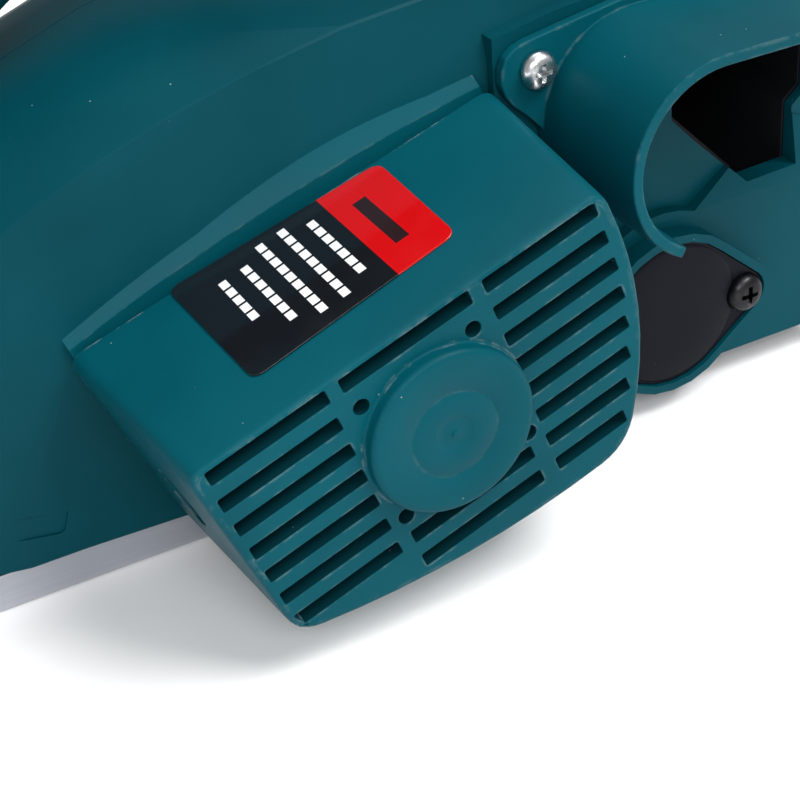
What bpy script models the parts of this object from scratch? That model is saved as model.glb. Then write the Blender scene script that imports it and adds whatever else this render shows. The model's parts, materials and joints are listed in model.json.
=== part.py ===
"""Electric hand planer, 82 mm cut: an assembly of separate pieces.

Millimetres in the constants, metres in the meshes. +X is the cutting direction,
+Y the belt side, -Y the motor side, +Z up. Z = 0 is the sole, Y = 0 its middle.
"""
import math

import bmesh
import bpy
from mathutils import Matrix, Vector

MM = 0.001
GAP = 0.3                      # clearance between pieces that touch

# sole and cutting circle
SOLE_HALF = 41.0
PLATE = 8.3
REAR_END = -143.0
FRONT_END = 142.0
DRUM_X, DRUM_Z = 32.5, 24.7
CUT_R = 24.6
DRUM_R = 23.0

# motor
MOTOR_X, MOTOR_Z = -43.5, 45.1
FACE_Y = -93.0
TILT = math.radians(19.44)     # the grille and the stator lean back with the belt line
GRILLE_PITCH = 6.5
SLOT_H = 2.9
FACE_WALL = 5.5                # the grille is deeper than the casing's other walls
BOSS_R = 16.8
BRUSH_Y = -66.0

# housing
WALL = 2.6
BODY_BOTTOM = PLATE + GAP
NOSE_LIFT = 1.6                # room for the front shoe to rise under the nose
BULGE_Y = 48.4                 # side wall beside the chip outlet
CHEEK_Y = 51.4                 # side wall beside the drum bearings
BODY_REAR, BODY_FRONT = -140.0, 134.0
ARCH_X, ARCH_Z, ARCH_R = 20.8, -183.6, 290.0
SHOULDER_X, SHOULDER_Z = -5.0, 90.3
SHOULDER_SLOPE = 0.3155        # above this line the side walls lean in
LEAN_IN = 0.3

# chip hood
HOOD_X, HOOD_Z, HOOD_R = 24.9, 74.8, 20.95
HOOD_RIM_Y = -82.6
HOOD_WALL = 2.3

# belt drive
MOTOR_PULLEY_R, DRUM_PULLEY_R = 11.0, 17.0
BELT_Y0, BELT_Y1 = 53.0, 62.0
BELT_COVER_Y = 65.6
PULLEY_RIBS, RIB_PITCH = 3, 2.7

# front shoe adjustment
KNOB_X = 113.0
KNOB_Z = 53.0
KNOB_R = 24.0

HANDLE_PATH = [(-121, 52), (-120, 88), (-107, 112), (-71, 137), (-31, 152), (6, 155),
               (33, 142), (45, 115), (48, 86)]
HANDLE_SCREWS = [HANDLE_PATH[1], HANDLE_PATH[3], HANDLE_PATH[6]]
TRIGGER_X, TRIGGER_Z = -1.0, 141.0
TRIGGER_HALF = 6.8
BUTTON_X, BUTTON_Z, BUTTON_R = -14.0, 154.0, 5.0
INLET_Z = 70.0
HANDLE_HALF_W, HANDLE_HALF_H = 17.5, 15.5

TEAL = (0.004, 0.118, 0.138)
BLACK = (0.012, 0.013, 0.015)


# ---------------------------------------------------------------- helpers

def finish(name, colour, roughness, metallic=0.0):
    made = bpy.data.materials.get(name) or bpy.data.materials.new(name)
    made.use_nodes = True
    shader = made.node_tree.nodes["Principled BSDF"]
    shader.inputs["Base Color"].default_value = (*colour, 1.0)
    shader.inputs["Roughness"].default_value = roughness
    shader.inputs["Metallic"].default_value = metallic
    return made


def teal_plastic():
    return finish("teal_plastic", TEAL, 0.45)


def black_plastic():
    return finish("black_plastic", BLACK, 0.4)


def steel():
    return finish("steel", (0.56, 0.56, 0.58), 0.3, 1.0)


def aluminium():
    return finish("aluminium", (0.62, 0.61, 0.66), 0.38, 1.0)


def copper():
    return finish("copper", (0.72, 0.35, 0.2), 0.35, 1.0)


def rubber():
    return finish("rubber", (0.02, 0.02, 0.02), 0.75)


def solid(name, points, faces, look):
    """A mesh object from points in millimetres, faces turned outwards."""
    mesh = bpy.data.meshes.new(name)
    mesh.from_pydata([Vector(p) * MM for p in points], [], faces)
    shape = bmesh.new()
    shape.from_mesh(mesh)
    bmesh.ops.recalc_face_normals(shape, faces=shape.faces)
    if shape.calc_volume(signed=True) < 0:
        bmesh.ops.reverse_faces(shape, faces=shape.faces)
    shape.to_mesh(mesh)
    shape.free()
    mesh.shade_smooth()
    mesh.set_sharp_from_angle(angle=math.radians(35))
    made = bpy.data.objects.new(name, mesh)
    made.data.materials.append(look)
    bpy.context.scene.collection.objects.link(made)
    return made


def loft(name, rings, look, closed=False):
    """Rings of equal length joined in order; the ends are capped unless closed."""
    count = len(rings[0])
    points = [p for ring in rings for p in ring]
    pairs = len(rings) if closed else len(rings) - 1
    faces = []
    for i in range(pairs):
        here, there = i * count, ((i + 1) % len(rings)) * count
        for j in range(count):
            k = (j + 1) % count
            faces.append((here + j, here + k, there + k, there + j))
    if not closed:
        faces.append(tuple(range(count)))
        faces.append(tuple(range(len(points) - count, len(points))))
    return solid(name, points, faces, look)


def along(axis, a, b, depth):
    """A point whose outline coordinates are a, b and whose extrusion coordinate is depth."""
    return {"X": (depth, a, b), "Y": (a, depth, b), "Z": (a, b, depth)}[axis]


def prism(name, outline, low, high, look, axis="Y"):
    return loft(name, [[along(axis, a, b, d) for a, b in outline] for d in (low, high)], look)


def block(name, low, high, look):
    (x0, y0, z0), (x1, y1, z1) = low, high
    return prism(name, [(x0, z0), (x1, z0), (x1, z1), (x0, z1)], y0, y1, look)


def lathe(name, profile, centre, look, axis="Y", steps=24, hollow=False):
    """(radius, depth) points turned about an axis through centre: a closed ring when hollow,
    otherwise a solid with a flat cap at each end of the profile."""
    ring_sets = []
    for radius, depth in profile:
        ring = []
        for i in range(steps):
            turn = 2 * math.pi * i / steps
            ring.append(along(axis, centre[0] + radius * math.cos(turn),
                              centre[1] + radius * math.sin(turn), depth))
        ring_sets.append(ring)
    return loft(name, ring_sets, look, closed=hollow)


def tube(name, inner, outer, low, high, centre, look, axis="Y", steps=24):
    return lathe(name, [(inner, low), (outer, low), (outer, high), (inner, high)], centre, look,
                 axis, steps, hollow=True)


def rod(name, radius, low, high, centre, look, axis="Y", steps=24):
    half_step = 180 / steps
    ring = arc(centre, radius, half_step, 360 - half_step, steps)
    return prism(name, ring, low, high, look, axis)


def arc(centre, radius, start, stop, count):
    """Points on an arc, angles in degrees."""
    points = []
    for i in range(count):
        turn = math.radians(start + (stop - start) * i / (count - 1))
        points.append((centre[0] + radius * math.cos(turn), centre[1] + radius * math.sin(turn)))
    return points


def hull(points):
    """The convex outline round some points, anticlockwise."""
    points = sorted(set(points))

    def half(sequence):
        chain = []
        for p in sequence:
            while len(chain) > 1 and cross(chain[-2], chain[-1], p) <= 1e-9:
                chain.pop()
            chain.append(p)
        return chain[:-1]

    return half(points) + half(reversed(points))


def cross(a, b, c):
    return (b[0] - a[0]) * (c[1] - a[1]) - (b[1] - a[1]) * (c[0] - a[0])


def discs_hull(discs, grow=0.0, count=25):
    """The belt-like outline round discs given as (x, z, radius)."""
    points = []
    for x, z, radius in discs:
        points += arc((x, z), radius + grow, 0, 360, count)[:-1]
    return hull(points)


def bowed(corners, bows, radii, edge_steps=5, corner_steps=4):
    """A closed outline: bowed edges between corners, each corner rounded off."""
    outline = []
    total = len(corners)
    for i in range(total):
        a, b = Vector(corners[i]), Vector(corners[(i + 1) % total])
        length = (b - a).length
        normal = Vector((b.y - a.y, a.x - b.x)) / length
        t0, t1 = radii[i] / length, 1 - radii[(i + 1) % total] / length
        edge = []
        for j in range(edge_steps + 1):
            t = t0 + (t1 - t0) * j / edge_steps
            edge.append(a.lerp(b, t) + normal * bows[i] * 4 * t * (1 - t))
        outline.append((edge, b))
    points = []
    for i, (edge, corner) in enumerate(outline):
        points += edge
        start, end = edge[-1], outline[(i + 1) % total][0][0]
        for j in range(1, corner_steps):
            t = j / corner_steps
            points.append(start.lerp(corner, t).lerp(corner.lerp(end, t), t))
    return [(p.x, p.y) for p in points]


def boolean(target, tool, kind):
    """The exact union, difference or intersection of two solids, applied to the first."""
    step = target.modifiers.new(kind, "BOOLEAN")
    step.operation = kind
    step.solver = "EXACT"
    step.object = tool
    graph = bpy.context.evaluated_depsgraph_get()
    mesh = bpy.data.meshes.new_from_object(target.evaluated_get(graph))
    target.modifiers.remove(step)
    target.data = mesh
    mesh.shade_smooth()
    mesh.set_sharp_from_angle(angle=math.radians(35))
    bpy.data.objects.remove(tool)
    return target


def cut(target, *tools):
    for tool in tools:
        boolean(target, tool, "DIFFERENCE")
    return target


def weld(target, *tools):
    for tool in tools:
        boolean(target, tool, "UNION")
    return target


def motor_frame():
    """Turns outline points in the leaning (u, v) frame into world places."""
    return Matrix.Translation(Vector((MOTOR_X, 0, MOTOR_Z))) @ Matrix.Rotation(-TILT, 4, "Y")


def lean(u, v):
    place = motor_frame() @ Vector((u, 0, v))
    return (place.x, place.z)


def leaning(outline):
    return [lean(u, v) for u, v in outline]


def smooth(t):
    t = max(0.0, min(1.0, t))
    return t * t * (3 - 2 * t)


# ---------------------------------------------------------------- sole and cutter

def rear_base(look):
    nose = DRUM_X - 10
    profile = [(REAR_END, 0), (nose, 0), (nose - 10.5, PLATE), (REAR_END + 5, PLATE),
               (REAR_END, 3)]
    base = prism("rear_base", profile, -SOLE_HALF, SOLE_HALF, look)
    for side in (-1, 1):
        low, high = sorted((side * 41.2, side * 49.0))
        cheek = hull(arc((DRUM_X, DRUM_Z), 16.6, 0, 360, 33) + [(13.2, 3), (26, 1.5)])
        weld(base, prism("cheek", cheek, low, high, look))
        low, high = sorted((side * 40.9, side * 49.0))
        weld(base, prism("foot", [(13.2, 1), (22, 1), (22, 9), (13.2, 9)], low, high, look))
        low, high = sorted((side * 44.0, side * 52.0))
        cut(base, rod("bore", 13.0 + GAP, low, high, (DRUM_X, DRUM_Z), look, steps=32))
        low, high = sorted((side * 40.0, side * 52.0))
        cut(base, rod("shaft_hole", 8.0, low, high, (DRUM_X, DRUM_Z), look, steps=32))
    guard = arc((DRUM_X, DRUM_Z), 29.0, 75, 220, 18) + arc((DRUM_X, DRUM_Z), 26.6, 222, 75, 18)
    weld(base, prism("guard", guard, -40.6, 40.6, look))
    return base


def front_base(look):
    tail = DRUM_X + 10.5
    profile = [(tail, 0), (FRONT_END - 3, 0), (FRONT_END, 3), (FRONT_END, PLATE - 1),
               (FRONT_END - 1, PLATE), (tail + 10.5, PLATE)]
    base = prism("front_base", profile, -SOLE_HALF, SOLE_HALF, look)
    weld(base, block("slider", (76, -24, 7), (92, 24, 36), look))
    weld(base, rod("post", 10, 7, 20, (KNOB_X, 0), look, "Z"))
    groove = [(-4, -1), (4, -1), (0, 3.2)]
    cut(base, prism("groove", groove, tail - 1, FRONT_END + 1, look, "X"))
    cut(base, rod("thread_hole", 4.0 + GAP, 3.6, 21, (KNOB_X, 0), look, "Z"))
    return base


POCKET = [(-6.0, 13.8), (5.0, 13.8), (5.0, 26), (-6.0, 26)]
BOLT_YS = (-28, 0, 28)


def turned(outline, half_turn):
    """Drum outline coordinates (across, out) placed in the world, for either pocket."""
    sign = -1 if half_turn else 1
    return [(DRUM_X + sign * a, DRUM_Z + sign * b) for a, b in outline]


def cutter_drum(look):
    drum = rod("cutter_drum", DRUM_R, -40.6, 40.6, (DRUM_X, DRUM_Z), look, steps=48)
    weld(drum, rod("shaft", 5.0 - GAP, -50.5, 62.4, (DRUM_X, DRUM_Z), look))
    weld(drum, rod("collar", 7.5, -43.7, 43.7, (DRUM_X, DRUM_Z), look))
    for half in (False, True):
        cut(drum, prism("pocket", turned(POCKET, half), -42, 42, look))
        for y in BOLT_YS:
            cut(drum, out_rod("hole", 2.6, 7.5, 14.5, y, half, look))
    return drum


def out_rod(name, radius, inner, outer, y, half, look, across=0.2, steps=12):
    """A rod that stands out from the drum's axis inside a pocket."""
    sign = -1 if half else 1
    low, high = sorted((DRUM_Z + sign * inner, DRUM_Z + sign * outer))
    return rod(name, radius, low, high, (DRUM_X + sign * across, y), look, "Z", steps)


def blade(name, half, look):
    edge = [(-5.7, 18.6), (-4.5, 18.6), (-4.5, 23.4), (-5.7, CUT_R - 0.7)]
    return prism(name, turned(edge, half), -40.6, 40.6, look)


def blade_clamp(name, half, look):
    profile = [(-5.7, 14.1), (4.7, 14.1), (4.7, 21.6), (2.5, 22.4), (-2, 22.6), (-4.2, 22.3),
               (-4.2, 18.3), (-5.7, 18.3)]
    clamp = prism(name, turned(profile, half), -40.6, 40.6, look)
    for y in BOLT_YS:
        cut(clamp, out_rod("seat", 4.2, 17.6, 24, y, half, look),
            out_rod("hole", 2.6, 13, 18, y, half, look))
    return clamp


def clamp_bolt(name, y, half, look):
    bolt = out_rod(name, 2.3, 8.0, 20, y, half, look)
    return weld(bolt, out_rod("head", 3.8, 17.9, 21.9, y, half, look, steps=6))


def bearing(name, inner, outer, low, high, centre, look):
    """Two rings with a sunk shield between them, turned as one piece."""
    step = (outer - inner) * 0.24
    profile = [(inner, low), (inner + step, low), (outer - step, low + 0.5), (outer, low),
               (outer, high), (inner, high)]
    return lathe(name, profile, centre, look, steps=20, hollow=True)


# ---------------------------------------------------------------- motor

FACE_CORNERS = [(-44.9, 24.1), (-42.8, -20.8), (30.5, -31.4), (44.3, 24.1)]
ROOT_CORNERS = [(-48.4, 26.3), (-45.6, -22.6), (34.0, -35.0), (48.4, 26.3)]
FACE_HOLES = [(-12.2, 15.1), (12.1, 15.0), (-14.5, -12.2), (13.4, -13.2)]
FACE_BOWS = (0.0, 3.8, 5.6, 0.0)
FACE_RADII = (3.5, 5.0, 6.0, 3.5)


def face_outline(t=0.0, inset=0.0):
    """The motor casing's section, from the end face (t = 0) to its root (t = 1)."""
    corners = []
    for (u0, v0), (u1, v1) in zip(FACE_CORNERS, ROOT_CORNERS):
        u, v = u0 + (u1 - u0) * t, v0 + (v1 - v0) * t
        corners.append((u - math.copysign(inset, u), v - math.copysign(inset, v)))
    radii = [max(r - inset * 0.5, 1.0) for r in FACE_RADII]
    return bowed(corners, FACE_BOWS, radii)


def root_y(u):
    """The body's side wall runs outwards to the front, and the casing's root with it."""
    return -47.4 - 0.042 * u


def casing_ring(t, inset=0.0, set_back=0.0):
    points = []
    for u, v in face_outline(t, inset):
        x, z = lean(u, v)
        points.append((x, FACE_Y + set_back + (root_y(u) - FACE_Y - set_back) * t, z))
    return points


def slot_rows():
    """Each grille slot as (u0, u1, middle v)."""
    slots = []
    for row in range(8):
        v = 21.35 - GRILLE_PITCH * row
        right_end = 42.1 - (14 - v) ** 2 / 148 if v < 14 else 42.0
        if row < 7:
            slots.append((-42.0 - 0.016 * v if row else -41.6, -17.5 + 0.044 * v, v))
        slots.append((16.6 + 0.027 * v, right_end, v))
        if row in (0, 6, 7):
            slots.append((-14.6 + 0.04 * v, 13.3 + 0.04 * v, v))
    return slots


def motor_housing(look):
    rings = []
    for inset, back in ((1.3, 0.0), (0.6, 0.2), (0.2, 0.6)):
        rings.append([(x, y + back, z) for x, y, z in casing_ring(0.0, inset)])
    rings += [casing_ring(0.03), casing_ring(1.0)]
    case = loft("motor_housing", rings, look)
    inner = [casing_ring(0.0, WALL, FACE_WALL), casing_ring(1.0, WALL)]
    inner[1] = [(x, y + 0.5, z) for x, y, z in inner[1]]
    weld(case, rod("boss", BOSS_R, FACE_Y - 2.4, FACE_Y + 1, (MOTOR_X, MOTOR_Z), look, steps=48))
    weld(case, rod("boss_top", BOSS_R - 0.9, FACE_Y - 3.1, FACE_Y, (MOTOR_X, MOTOR_Z), look,
                   steps=48))
    cut(case, loft("hollow", inner, look))
    centre = (MOTOR_X, MOTOR_Z)
    weld(case, tube("bearing_seat", 9.5 + GAP, 12.2, FACE_Y + 2, FACE_Y + 13, centre, look))
    through = FACE_Y + FACE_WALL + 1
    for u0, u1, v in slot_rows():
        outline = [(u0, v + SLOT_H / 2), (u0, v - SLOT_H / 2), (u1, v - SLOT_H / 2),
                   (u1, v + SLOT_H / 2)]
        outline = leaning(bowed(outline, (0,) * 4, (0.9,) * 4, 1, 2))
        cut(case, prism("slot", outline, FACE_Y - 1, through, look))
    for u, v in FACE_HOLES:
        cut(case, rod("hole", 1.7, FACE_Y - 1, through, lean(u, v), look, steps=12))
    for side in (-1, 1):
        cut(case, brush_rod("brush_hole", 7.0, 33, 52, side, look))
    return case


def brush_rod(name, radius, inner, outer, side, look, steps=24):
    """A rod along the leaning u axis, through the brushes."""
    rings = []
    for u in (side * inner, side * outer):
        ring = []
        for i in range(steps):
            turn = 2 * math.pi * i / steps
            x, z = lean(u, radius * math.sin(turn))
            ring.append((x, BRUSH_Y + radius * math.cos(turn), z))
        rings.append(ring)
    return loft(name, rings, look)


def brush_block(name, half_y, half_v, inner, outer, side, look):
    rings = []
    for u in (side * inner, side * outer):
        ring = []
        for dy, v in ((-half_y, -half_v), (half_y, -half_v), (half_y, half_v), (-half_y, half_v)):
            x, z = lean(u, v)
            ring.append((x, BRUSH_Y + dy, z))
        rings.append(ring)
    return loft(name, rings, look)


def brush_set(side, word):
    brass = finish("brass", (0.75, 0.55, 0.22), 0.3, 1.0)
    carbon = finish("carbon", (0.03, 0.03, 0.032), 0.6)
    holder = brush_block(f"brush_holder_{word}", 4.6, 5.4, 15, 36, side, brass)
    cut(holder, brush_block("way", 2.6 + GAP, 3.4 + GAP, 14, 37, side, brass))
    brush_block(f"carbon_brush_{word}", 2.6, 3.4, 11.4, 24, side, carbon)
    cap = brush_rod(f"brush_cap_{word}", 7.0 - GAP, 38.5, 42.5, side, black_plastic())
    cut(cap, brush_block("driver_slot", 5.2, 0.8, 41, 44, side, black_plastic()))


def stator(look):
    outline = leaning(bowed([(-27, 20.6), (-27, -20.6), (27, -20.6), (27, 20.6)],
                            (2.0, 0.6, 2.0, 0.0), (7, 7, 7, 7), 3, 4))
    core = prism("stator", outline, -56, -14, look)
    return cut(core, rod("bore", 15.2, -57, -13, (MOTOR_X, MOTOR_Z), look, steps=32))


def field_coils(look):
    """The stator's winding heads, one ring towards the fan."""
    outline = leaning(bowed([(-22, 17.5), (-22, -17.5), (22, -17.5), (22, 17.5)],
                            (1.5, 0.5, 1.5, 0.0), (8, 8, 8, 8), 3, 4))
    coil = prism("field_coils", outline, -13.7, -6, look)
    return cut(coil, rod("bore", 15.2, -15, -5, (MOTOR_X, MOTOR_Z), look, steps=32))


def armature(look):
    return lathe("armature", [(3.2, -86), (3.2, -59), (12.5, -59), (14.2, -56), (14.2, -14),
                              (12.5, -11), (4.2, -11), (4.2, 51), (3.7, 51.3), (3.7, 62.4)],
                 (MOTOR_X, MOTOR_Z), look)


def commutator(look):
    return tube("commutator", 3.2 + GAP, 11.0, -75, -59.6, (MOTOR_X, MOTOR_Z), look)


def fan(look):
    centre = (MOTOR_X, MOTOR_Z)
    wheel = tube("fan", 4.2 + GAP, 27, 10, 12, centre, look)
    weld(wheel, tube("hub", 4.2 + GAP, 8, 2, 12, centre, look))
    for i in range(12):
        turn = 2 * math.pi * i / 12
        out, side = Vector((math.cos(turn), math.sin(turn))), Vector((-math.sin(turn), math.cos(turn)))
        corners = [out * 9 - side * 0.7, out * 26.4 - side * 4.7, out * 26.4 - side * 3.3,
                   out * 9 + side * 0.7]
        outline = [(MOTOR_X + c.x, MOTOR_Z + c.y) for c in corners]
        weld(wheel, prism("vane", outline, 3, 11, look))
    return wheel


def air_baffle(look):
    centre = (MOTOR_X, MOTOR_Z)
    return lathe("air_baffle", [(19, -2), (30.5, -2), (30.5, 14), (28.9, 14), (28.9, -0.4),
                                (19, -0.4)], centre, look, steps=28, hollow=True)


# ---------------------------------------------------------------- housing halves

def ridge(x):
    """Height of the shoulder between the side wall and the top."""
    z = ARCH_Z + math.sqrt(ARCH_R ** 2 - (x - ARCH_X) ** 2)
    if x < -104:
        z -= 0.012 * (x + 104) ** 2
    return z + (44.0 - z) * smooth((x - 68) / 20)


def crown(x):
    return 3.0 + 8.0 * smooth((-30 - x) / 34) - 1.0 * smooth((x - 68) / 20)


def shoulder(x, inset):
    """Height at which the side walls start to lean in."""
    return min(SHOULDER_Z + SHOULDER_SLOPE * (x - SHOULDER_X), ridge(x) - inset - 3.0)


def end_rounding(x):
    """How far the side walls draw in towards both ends."""
    rear = max(0.0, -112 - x) / 28
    front = max(0.0, x - 112) / 22
    return 14 * rear ** 2 + 12 * front ** 2


def side_y(x, side):
    spread = max(0.0, min(1.0, (x + 100) / 95))
    width = 42.3 + (4.0 * spread if side < 0 else 1.2) - 2.0 * smooth((x - 68) / 20)
    return side * (width - end_rounding(x))


def body_ring(x, inset):
    """The body's section at x: bottom, walls that lean in above the shoulder, crowned top."""
    top = ridge(x) - inset
    lean_from = shoulder(x, inset)
    rise = top - lean_from
    bottom = BODY_BOTTOM + (NOSE_LIFT if x > 60 else 0)
    steps = [(0.0, -0.3), (0.06, 0.0), (0.34, 0.3)]
    across = (0.78, 0.52, 0.26)
    if inset:
        bottom = 2.0
        steps = [(0.0, -0.1), (0.34, 0.3)]
        across = (0.5,)
    points = []
    for side in (1, -1):
        wall = side_y(x, side) - side * inset
        edge = wall - side * LEAN_IN * rise
        half = [(wall, bottom)]
        half += [(wall + (edge - wall) * t, lean_from + rise * up) for t, up in steps]
        half.append((edge, top - 0.5))
        half.append((edge - side * 0.5, top))
        for t in across:
            half.append((edge * t * 0.96, top + crown(x) * (1 - t ** 3)))
        points += half if side > 0 else list(reversed(half))
        if side > 0:
            points.append((0.0, top + crown(x)))
    return [(x, y, z) for y, z in points]


def body_stations(inset):
    if inset:
        xs = [BODY_REAR + inset, -130, -112, -92, -66, -38, -5, 30, 64, 72, 77, 82, 90, 112, 124]
        return xs + [BODY_FRONT - inset]
    xs = [BODY_REAR + t for t in (0, 3, 8, 16, 28)]
    xs += [-100, -86, -70, -52, -32, -5, 20, 46, 62, 68, 73, 78, 83, 90]
    return xs + [112, 120, 128, BODY_FRONT]


def body_loft(name, inset, look):
    return loft(name, [body_ring(x, inset) for x in body_stations(inset)], look)


def spline(points, per=5):
    """A Catmull-Rom curve through 2-D points."""
    made = []
    guard = [points[0], *points, points[-1]]
    for i in range(1, len(guard) - 2):
        p0, p1, p2, p3 = [Vector(guard[i + k]) for k in (-1, 0, 1, 2)]
        for j in range(per):
            t = j / per
            made.append(0.5 * (2 * p1 + (p2 - p0) * t + (2 * p0 - 5 * p1 + 4 * p2 - p3) * t * t
                               + (3 * p1 - p0 - 3 * p2 + p3) * t ** 3))
    made.append(Vector(points[-1]))
    return made


def handle_tube(name, inset, look):
    """The handle's loop: an oval section swept along its path, wider at both roots."""
    path = spline(HANDLE_PATH, 3 if inset == 0 else 2)
    sides = 16 if inset == 0 else 10
    rings = []
    for i, p in enumerate(path):
        ahead = path[min(i + 1, len(path) - 1)] - path[max(i - 1, 0)]
        ahead.normalize()
        normal = Vector((-ahead.y, ahead.x))
        along_path = i / (len(path) - 1)
        flare = 1 + 0.35 * smooth((0.16 - along_path) / 0.16)
        flare += 0.35 * smooth((along_path - 0.86) / 0.14)
        half_w = HANDLE_HALF_W * flare - inset
        half_h = HANDLE_HALF_H * flare - inset
        ring = []
        for j in range(sides):
            turn = 2 * math.pi * (j + 0.5) / sides
            c, s = math.cos(turn), math.sin(turn)
            across = math.copysign(abs(c) ** 0.8, c) * half_w
            out = math.copysign(abs(s) ** 0.8, s) * half_h
            ring.append((p.x + normal.x * out, across, p.y + normal.y * out))
        rings.append(ring)
    return loft(name, rings, look)


def bulge_outline(inset=0.0):
    """The side wall's raised part beside the chip outlet, in (x, z)."""
    low = 24.0 - inset * 4
    return [(-5.5 + inset, low), (70, low), (80 - inset, 40), (80 - inset, 62),
            (76.5 - inset, 80), (67, 97 - inset), (40, 99.3 - inset), (22, 98.8 - inset),
            (10, 97.8 - inset), (-5.5 + inset, 95.2 - inset)]


def cheek_outline(inset=0.0, spread=0.0):
    """The side wall's lower part, which covers the drum bearing; its front edge can spread."""
    low = 6.9 if inset == 0 else -1.0
    round_top = arc((DRUM_X, DRUM_Z), 22.5 - inset, 68, 180, 12)
    return round_top + [(DRUM_X - 22.5 + inset, low), (82 - inset, low),
                        (82 - inset, 36 - inset + spread), (64, 45 - inset + spread)]


def cheek(side, look):
    """The cheek slopes softly into the bulge above it."""
    plate = prism("cheek", cheek_outline(0.0, 17.0), *sided(side, 41.6, CHEEK_Y), look)
    slope = [(52.0, 42.4), (47.9, 64.0), (47.9, 70.0), (56.0, 70.0), (56.0, 42.4)]
    slope = [(side * y, z) for y, z in slope]
    return cut(plate, prism("slope", slope, 0.0, 100.0, look, "X"))


def chip_opening():
    return [(36.7, 66.7), (42.7, 60.3), (55, 48.2), (68.2, 48.7), (68.2, 61.6), (71.9, 64.7),
            (71.9, 78), (63.2, 90.4), (42, 90.4), (36.7, 86)]


def cover_discs():
    return [(DRUM_X, DRUM_Z, 17.0), (51.4, 24.3, 4.9), (13.6, 24.9, 4.9)]


def belt_discs(radius_motor=19.0, radius_drum=25.5):
    return [(MOTOR_X, MOTOR_Z, radius_motor), (DRUM_X, DRUM_Z + 2.5, radius_drum)]


def sided(side, low, high):
    return sorted((side * low, side * high))


def housing_shell(look):
    body = body_loft("body", 0.0, look)
    weld(body, handle_tube("handle", 0.0, look))
    hollow = body_loft("hollow", WALL, look)
    for side in (-1, 1):
        weld(body, prism("bulge", bulge_outline(), *sided(side, 34, BULGE_Y), look))
        weld(body, cheek(side, look))
        weld(hollow, prism("bulge_in", bulge_outline(2.4), *sided(side, 30, BULGE_Y - 2.4), look))
        weld(hollow, prism("cheek_in", cheek_outline(2.1), *sided(side, 30, CHEEK_Y - 2.1), look))
    pad = [casing_ring(1.0, -3.4), casing_ring(1.0, -0.5)]
    pad[0] = [(x, y + 6.0, z) for x, y, z in pad[0]]
    pad[1] = [(x, y + 0.3, z) for x, y, z in pad[1]]
    weld(body, loft("motor_pad", pad, look))
    weld(body, prism("belt_pad", discs_hull(belt_discs(), 1.0), 41.4, CHEEK_Y, look))
    weld(body, rod("knob_collar", 20, 40, KNOB_Z - 3.9, (KNOB_X, 0), look, "Z", 36))
    weld(body, prism("cover_collar", discs_hull(cover_discs(), 2.2), -56.2, -CHEEK_Y + 1, look))
    weld(hollow, handle_tube("handle_hollow", WALL + 0.2, look))
    cut(body, hollow)
    return body


def housing_cuts(body, look):
    hole = leaning(bowed([(-30, 22.4), (-30, -22.4), (30, -22.4), (30, 22.4)],
                         (1, 0, 1, 0), (6, 6, 6, 6), 2, 3))
    cut(body, prism("motor_hole", hole, -60, -30, look))
    cut(body, prism("cover_seat", discs_hull(cover_discs(), GAP), -60, -CHEEK_Y + 0.3, look))
    cut(body, rod("bearing_hole", 16.6 + GAP, -60, -40, (DRUM_X, DRUM_Z), look, steps=32))
    cut(body, rod("drum_shaft_hole", 16.6 + GAP, 40, 60, (DRUM_X, DRUM_Z), look, steps=32))
    cut(body, rod("motor_shaft_hole", 8.0, 36, 60, (MOTOR_X, MOTOR_Z), look))
    cut(body, prism("chip_hole", chip_opening(), -60, -40, look))
    cut(body, rod("inlet_hole", 8.0 + GAP, -150, -120, (0, INLET_Z), look, "X"))
    cut(body, rod("knob_hole", 13.0, 40, 60, (KNOB_X, 0), look, "Z"))
    cut(body, block("trigger_slot", (-40, -TRIGGER_HALF - 0.5, 122),
                    (2, TRIGGER_HALF + 0.5, 146), look))
    cut(body, rod("button_hole", BUTTON_R + GAP, -30, -5, (BUTTON_X, BUTTON_Z), look, "Y", 20))
    for x, z in HANDLE_SCREWS:
        weld(body, rod("screw_boss", 4.6, -15, 15, (x, z), look, steps=16))
        cut(body, rod("screw_hole", 2.0, -9, 30, (x, z), look, steps=12),
            rod("head_seat", 3.9, 9.5, 30, (x, z), look, steps=16))
    return body


def housings(look):
    body = housing_cuts(housing_shell(look), look)
    left = body.copy()
    left.data = body.data.copy()
    left.name = "housing_left"
    bpy.context.scene.collection.objects.link(left)
    half = GAP / 2
    cut(body, block("left_side", (-200, -half, -50), (200, 120, 220), look))
    cut(left, block("right_side", (-200, -120, -50), (200, half, 220), look))
    body.name = "housing_right"
    seat = tube("bearing_seat", 13.0 + GAP, 16.2, 33.0, 43.0, (MOTOR_X, MOTOR_Z), look)
    weld(left, seat)
    for piece in (body, left):
        piece.data.name = piece.name
    mark = bowed([(-126, 23.1), (-126, 17.9), (-104.2, 14.1), (-102.4, 19.2)], (0,) * 4,
                 (1.2,) * 4, 1, 3)
    cut(body, prism("mark_recess", mark, -60, -41.9, look))


# ---------------------------------------------------------------- outside pieces

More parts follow.
